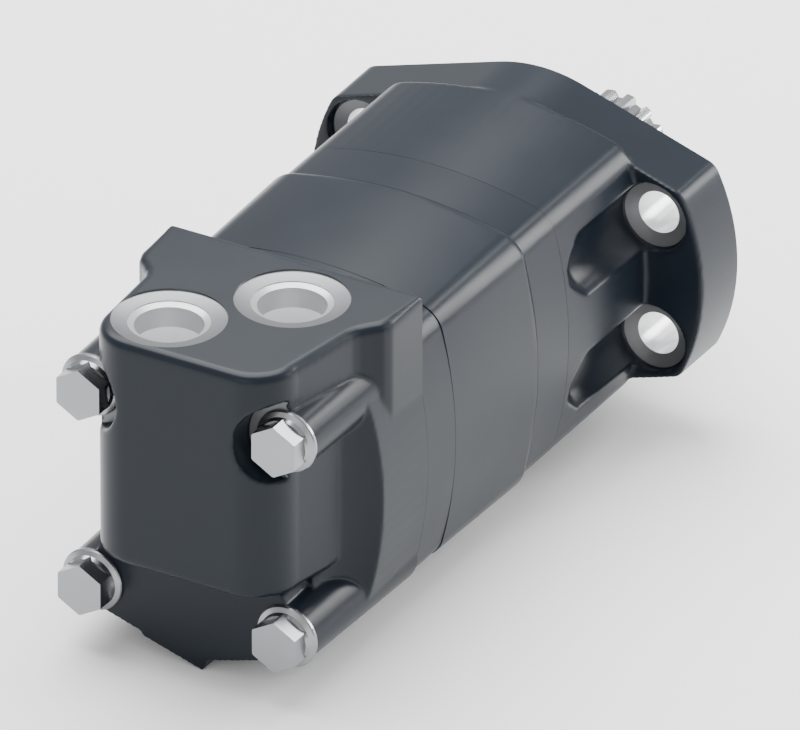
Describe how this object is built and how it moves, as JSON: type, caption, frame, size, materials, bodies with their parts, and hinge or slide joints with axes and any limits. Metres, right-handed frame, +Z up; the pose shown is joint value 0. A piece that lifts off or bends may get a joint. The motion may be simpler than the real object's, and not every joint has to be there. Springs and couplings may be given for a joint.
{
  "type": "orbital hydraulic motor",
  "caption": "Low-speed hydraulic motor with a bolted stack of housings, side ports, a mounting flange with a pilot and a splined output shaft.",
  "frame": {"origin": "centre of the flange's mounting face, on the shaft axis", "axes": "+Y along the shaft towards its splined end, +Z up at the ports, X across the flange"},
  "size_m": [0.1324, 0.2612, 0.1084],
  "materials": {
    "painted_casting": "smooth semi-gloss paint on cast iron",
    "zinc_bolt": "zinc plated steel",
    "seal_rubber": "matt black rubber",
    "ground_steel": "ground and polished steel",
    "bearing_steel": "honed bearing steel",
    "dark_steel": "heat treated steel",
    "balance_iron": "machined cast iron"
  },
  "bodies": {
    "root": {"port_housing": "painted_casting", "valve_plate": "painted_casting", "gerotor_ring": "painted_casting", "wear_plate": "painted_casting", "bearing_housing": "painted_casting", "housing_bolts": "zinc_bolt", "body_seals": "seal_rubber", "drain_plug": "zinc_bolt", "drain_plug_seal": "seal_rubber", "balance_ring": "balance_iron", "balance_springs": "dark_steel", "balance_pins": "dark_steel", "balance_outer_seal": "seal_rubber", "balance_inner_seal": "seal_rubber", "front_cup": "bearing_steel", "rear_cup": "bearing_steel", "shaft_seal": "seal_rubber", "backup_washer": "dark_steel", "seal_retaining_ring": "dark_steel", "dust_seal": "seal_rubber"},
    "shaft": {"output_shaft": "ground_steel", "front_cone": "bearing_steel", "rear_cone": "bearing_steel"},
    "orbit": {"drive_spacer": "dark_steel"},
    "star": {"star": "ground_steel"},
    "main_drive": {"main_drive": "dark_steel"},
    "valve_drive": {"valve_drive": "dark_steel"},
    "disc_valve": {"disc_valve": "ground_steel"},
    "front_roller_set": {"front_rollers": "bearing_steel", "front_cage": "dark_steel"},
    "rear_roller_set": {"rear_rollers": "bearing_steel", "rear_cage": "dark_steel"},
    "roller_1": {"roller_1": "ground_steel"},
    "roller_2": {"roller_2": "ground_steel"},
    "roller_3": {"roller_3": "ground_steel"},
    "roller_4": {"roller_4": "ground_steel"},
    "roller_5": {"roller_5": "ground_steel"},
    "roller_6": {"roller_6": "ground_steel"},
    "roller_7": {"roller_7": "ground_steel"}
  },
  "joints": [
    {"name": "shaft_spin", "type": "hinge", "parent": "root", "child": "shaft", "pos_m": [0, 0.02, 0], "axis": [0, 1, 0], "continuous": true},
    {"name": "star_orbit", "type": "hinge", "parent": "root", "child": "orbit", "pos_m": [0, -0.107, 0], "axis": [0, 1, 0], "continuous": true},
    {"name": "star_spin", "type": "hinge", "parent": "orbit", "child": "star", "pos_m": [0.003, -0.107, 0], "axis": [0, 1, 0], "continuous": true},
    {"name": "main_drive_spin", "type": "hinge", "parent": "orbit", "child": "main_drive", "pos_m": [0.003, -0.097, 0], "axis": [-0.0611, 0.9981, 0], "continuous": true},
    {"name": "valve_drive_spin", "type": "hinge", "parent": "orbit", "child": "valve_drive", "pos_m": [0.003, -0.121, 0], "axis": [0.0767, 0.9971, 0], "continuous": true},
    {"name": "disc_valve_spin", "type": "hinge", "parent": "root", "child": "disc_valve", "pos_m": [0, -0.159, 0], "axis": [0, 1, 0], "continuous": true},
    {"name": "front_roller_set_spin", "type": "hinge", "parent": "root", "child": "front_roller_set", "pos_m": [0, -0.026, 0], "axis": [0, 1, 0], "continuous": true},
    {"name": "rear_roller_set_spin", "type": "hinge", "parent": "root", "child": "rear_roller_set", "pos_m": [0, -0.055, 0], "axis": [0, 1, 0], "continuous": true},
    {"name": "roller_1_spin", "type": "hinge", "parent": "root", "child": "roller_1", "pos_m": [0.0295, -0.107, 0], "axis": [0, 1, 0], "continuous": true},
    {"name": "roller_2_spin", "type": "hinge", "parent": "root", "child": "roller_2", "pos_m": [0.01839, -0.107, 0.02306], "axis": [0, 1, 0], "continuous": true},
    {"name": "roller_3_spin", "type": "hinge", "parent": "root", "child": "roller_3", "pos_m": [-0.00656, -0.107, 0.02876], "axis": [0, 1, 0], "continuous": true},
    {"name": "roller_4_spin", "type": "hinge", "parent": "root", "child": "roller_4", "pos_m": [-0.02658, -0.107, 0.0128], "axis": [0, 1, 0], "continuous": true},
    {"name": "roller_5_spin", "type": "hinge", "parent": "root", "child": "roller_5", "pos_m": [-0.02658, -0.107, -0.0128], "axis": [0, 1, 0], "continuous": true},
    {"name": "roller_6_spin", "type": "hinge", "parent": "root", "child": "roller_6", "pos_m": [-0.00656, -0.107, -0.02876], "axis": [0, 1, 0], "continuous": true},
    {"name": "roller_7_spin", "type": "hinge", "parent": "root", "child": "roller_7", "pos_m": [0.01839, -0.107, -0.02306], "axis": [0, 1, 0], "continuous": true}
  ],
  "couplings": [
    {"joint": "star_orbit", "follows": "shaft_spin", "ratio": -6},
    {"joint": "star_spin", "follows": "shaft_spin", "ratio": 7},
    {"joint": "main_drive_spin", "follows": "shaft_spin", "ratio": 7},
    {"joint": "valve_drive_spin", "follows": "shaft_spin", "ratio": 7},
    {"joint": "disc_valve_spin", "follows": "shaft_spin", "ratio": 1},
    {"joint": "front_roller_set_spin", "follows": "shaft_spin", "ratio": 0.435},
    {"joint": "rear_roller_set_spin", "follows": "shaft_spin", "ratio": 0.446},
    {"joint": "roller_1_spin", "follows": "shaft_spin", "ratio": -3.893},
    {"joint": "roller_2_spin", "follows": "shaft_spin", "ratio": -3.893},
    {"joint": "roller_3_spin", "follows": "shaft_spin", "ratio": -3.893},
    {"joint": "roller_4_spin", "follows": "shaft_spin", "ratio": -3.893},
    {"joint": "roller_5_spin", "follows": "shaft_spin", "ratio": -3.893},
    {"joint": "roller_6_spin", "follows": "shaft_spin", "ratio": -3.893},
    {"joint": "roller_7_spin", "follows": "shaft_spin", "ratio": -3.893}
  ]
}
